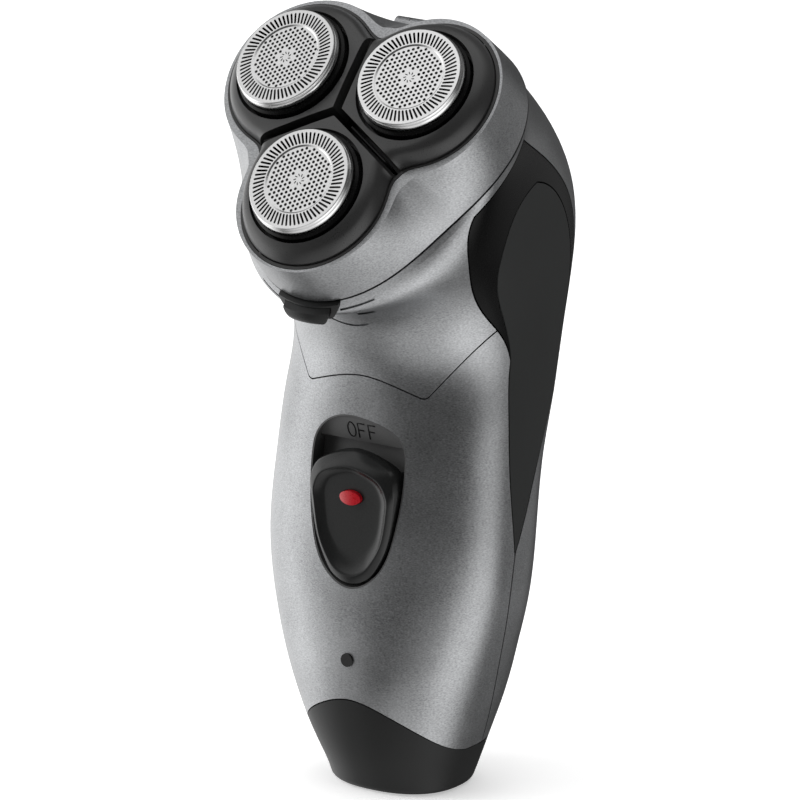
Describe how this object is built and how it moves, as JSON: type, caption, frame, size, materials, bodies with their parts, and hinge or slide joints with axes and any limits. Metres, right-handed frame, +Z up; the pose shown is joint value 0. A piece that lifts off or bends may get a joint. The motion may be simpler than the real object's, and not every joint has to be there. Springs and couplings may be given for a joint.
{
  "type": "electric shaver",
  "caption": "Rotary electric shaver with a forward-tilted flip-open head, curved handle with rubber side grips, sliding power switch and rear pop-out trimmer.",
  "frame": {"origin": "centre of the flat base of the handle", "axes": "+Z up the handle, -Y towards the side with the switch, +X to the right when the switch is looked at"},
  "size_m": [0.0674, 0.0836, 0.1676],
  "materials": {
    "silver_paint": "metallic lacquer on plastic, fine flake, semi-gloss",
    "black_gloss": "polished",
    "dark_plastic": "fine matt texture",
    "rubber": "matt soft-touch",
    "steel": "bright brushed",
    "red_plastic": "satin",
    "white_plastic": "natural acetal",
    "lens": "clear smoked",
    "board": "solder mask",
    "cell_wrap": "shrink wrap"
  },
  "bodies": {
    "handle": {"front_shell": "silver_paint", "neck_panel": "silver_paint", "rear_shell": "silver_paint", "bottom_cap": "dark_plastic", "grip_trim_right": "black_gloss", "grip_trim_left": "black_gloss", "grip_pad_right": "rubber", "grip_pad_left": "rubber", "switch_recess": "dark_plastic", "gear_plate": "dark_plastic", "plate_screws": "steel", "motor_bracket": "white_plastic", "motor": "steel", "hinge_pin": "steel", "release_bezel": "black_gloss", "release_spring": "steel", "switch_body": "dark_plastic", "circuit_board": "board", "board_screws": "steel", "transformer": "dark_plastic", "capacitors": "dark_plastic", "light_pipe": "lens", "indicator_led": "lens", "cell_left": "cell_wrap", "cell_right": "cell_wrap", "cell_tabs": "steel", "cell_cradle": "white_plastic", "charging_jack": "dark_plastic", "trimmer_pin": "steel", "trimmer_bay": "dark_plastic", "spindle_springs": "steel"},
    "head": {"head_frame": "silver_paint", "head_carrier": "dark_plastic", "pod_pins": "steel", "cutter_retainer": "dark_plastic"},
    "knob": {"retainer_knob": "dark_plastic"},
    "rotor": {"motor_pinion": "white_plastic"},
    "release": {"release_button": "black_gloss"},
    "switch": {"switch_slider": "black_gloss"},
    "lock": {"lock_button": "red_plastic"},
    "trimmer": {"trimmer_housing": "silver_paint", "trimmer_comb": "steel"},
    "trim_blade": {"trimmer_blade": "steel"},
    "catch": {"trimmer_catch": "black_gloss"},
    "pod_front": {"pod_front": "black_gloss"},
    "float_front": {"cap_front": "steel", "cap_ring_front": "black_gloss"},
    "cutter_front": {"cutter_front": "steel"},
    "drive_front": {"drive_spindle_front": "white_plastic"},
    "pod_right": {"pod_right": "black_gloss"},
    "float_right": {"cap_right": "steel", "cap_ring_right": "black_gloss"},
    "cutter_right": {"cutter_right": "steel"},
    "drive_right": {"drive_spindle_right": "white_plastic"},
    "pod_left": {"pod_left": "black_gloss"},
    "float_left": {"cap_left": "steel", "cap_ring_left": "black_gloss"},
    "cutter_left": {"cutter_left": "steel"},
    "drive_left": {"drive_spindle_left": "white_plastic"}
  },
  "joints": [
    {"name": "head_hinge", "type": "hinge", "parent": "handle", "child": "head", "pos_m": [0, 0.00825, 0.1618], "axis": [-1, 0, 0], "range_deg": [0, 95]},
    {"name": "release_press", "type": "slide", "parent": "handle", "child": "release", "axis": [0, 0.6587, 0.7524], "range_m": [0, 0.0012], "stiffness_N_per_m": 600},
    {"name": "switch_slide", "type": "slide", "parent": "handle", "child": "switch", "axis": [0, 0.1093, 0.994], "range_m": [0, 0.0045]},
    {"name": "lock_press", "type": "slide", "parent": "switch", "child": "lock", "axis": [0, 1, 0], "range_m": [0, 0.0008], "stiffness_N_per_m": 300},
    {"name": "pod_tilt_front", "type": "hinge", "parent": "head", "child": "pod_front", "pos_m": [0, -0.04016, 0.1226], "axis": [-1, 0, 0], "range_deg": [0, 4], "stiffness_Nm_per_rad": 0.6},
    {"name": "cap_float_front", "type": "slide", "parent": "pod_front", "child": "float_front", "axis": [0, 0.7965, -0.6046], "range_m": [0, 0.0012], "stiffness_N_per_m": 500},
    {"name": "cutter_spin_front", "type": "hinge", "parent": "float_front", "child": "cutter_front", "pos_m": [0, -0.03803, 0.13931], "axis": [0, -0.7965, 0.6046], "continuous": true},
    {"name": "spindle_spin_front", "type": "hinge", "parent": "handle", "child": "drive_front", "pos_m": [0, -0.01712, 0.1222], "axis": [0, -0.7524, 0.6587], "continuous": true},
    {"name": "pod_tilt_right", "type": "hinge", "parent": "head", "child": "pod_right", "pos_m": [0.02752, -0.00876, 0.15846], "axis": [0.5, -0.5704, -0.6516], "range_deg": [0, 4], "stiffness_Nm_per_rad": 0.6},
    {"name": "cap_float_right", "type": "slide", "parent": "pod_right", "child": "float_right", "axis": [-0.0604, 0.7276, -0.6833], "range_m": [0, 0.0012], "stiffness_N_per_m": 500},
    {"name": "cutter_spin_right", "type": "hinge", "parent": "float_right", "child": "cutter_right", "pos_m": [0.01541, -0.02044, 0.1594], "axis": [0.0604, -0.7276, 0.6833], "continuous": true},
    {"name": "spindle_spin_right", "type": "hinge", "parent": "handle", "child": "drive_right", "pos_m": [0.01464, -0.00042, 0.14127], "axis": [0, -0.7524, 0.6587], "continuous": true},
    {"name": "pod_tilt_left", "type": "hinge", "parent": "head", "child": "pod_left", "pos_m": [-0.02752, -0.00876, 0.15846], "axis": [0.5, 0.5704, 0.6516], "range_deg": [0, 4], "stiffness_Nm_per_rad": 0.6},
    {"name": "cap_float_left", "type": "slide", "parent": "pod_left", "child": "float_left", "axis": [0.0604, 0.7276, -0.6833], "range_m": [0, 0.0012], "stiffness_N_per_m": 500},
    {"name": "cutter_spin_left", "type": "hinge", "parent": "float_left", "child": "cutter_left", "pos_m": [-0.01541, -0.02044, 0.1594], "axis": [-0.0604, -0.7276, 0.6833], "continuous": true},
    {"name": "spindle_spin_left", "type": "hinge", "parent": "handle", "child": "drive_left", "pos_m": [-0.01464, -0.00042, 0.14127], "axis": [0, -0.7524, 0.6587], "continuous": true},
    {"name": "motor_spin", "type": "hinge", "parent": "handle", "child": "rotor", "pos_m": [0, -0.00598, 0.13492], "axis": [0, -0.7524, 0.6587], "continuous": true},
    {"name": "knob_turn", "type": "hinge", "parent": "head", "child": "knob", "pos_m": [0, -0.01351, 0.1415], "axis": [0, -0.7524, 0.6587], "range_deg": [0, 90]},
    {"name": "trimmer_hinge", "type": "hinge", "parent": "handle", "child": "trimmer", "pos_m": [0, 0.0332, 0.1066], "axis": [-1, 0, 0], "range_deg": [0, 75]},
    {"name": "blade_stroke", "type": "slide", "parent": "trimmer", "child": "trim_blade", "axis": [1, 0, 0], "range_m": [-0.0008, 0.0008]},
    {"name": "catch_slide", "type": "slide", "parent": "handle", "child": "catch", "axis": [0, 0.3714, 0.9285], "range_m": [0, 0.003]}
  ],
  "couplings": [
    {"joint": "spindle_spin_front", "follows": "motor_spin", "ratio": -0.64706},
    {"joint": "cutter_spin_front", "follows": "motor_spin", "ratio": -0.64706},
    {"joint": "spindle_spin_right", "follows": "motor_spin", "ratio": -0.64706},
    {"joint": "cutter_spin_right", "follows": "motor_spin", "ratio": -0.64706},
    {"joint": "spindle_spin_left", "follows": "motor_spin", "ratio": -0.64706},
    {"joint": "cutter_spin_left", "follows": "motor_spin", "ratio": -0.64706}
  ]
}
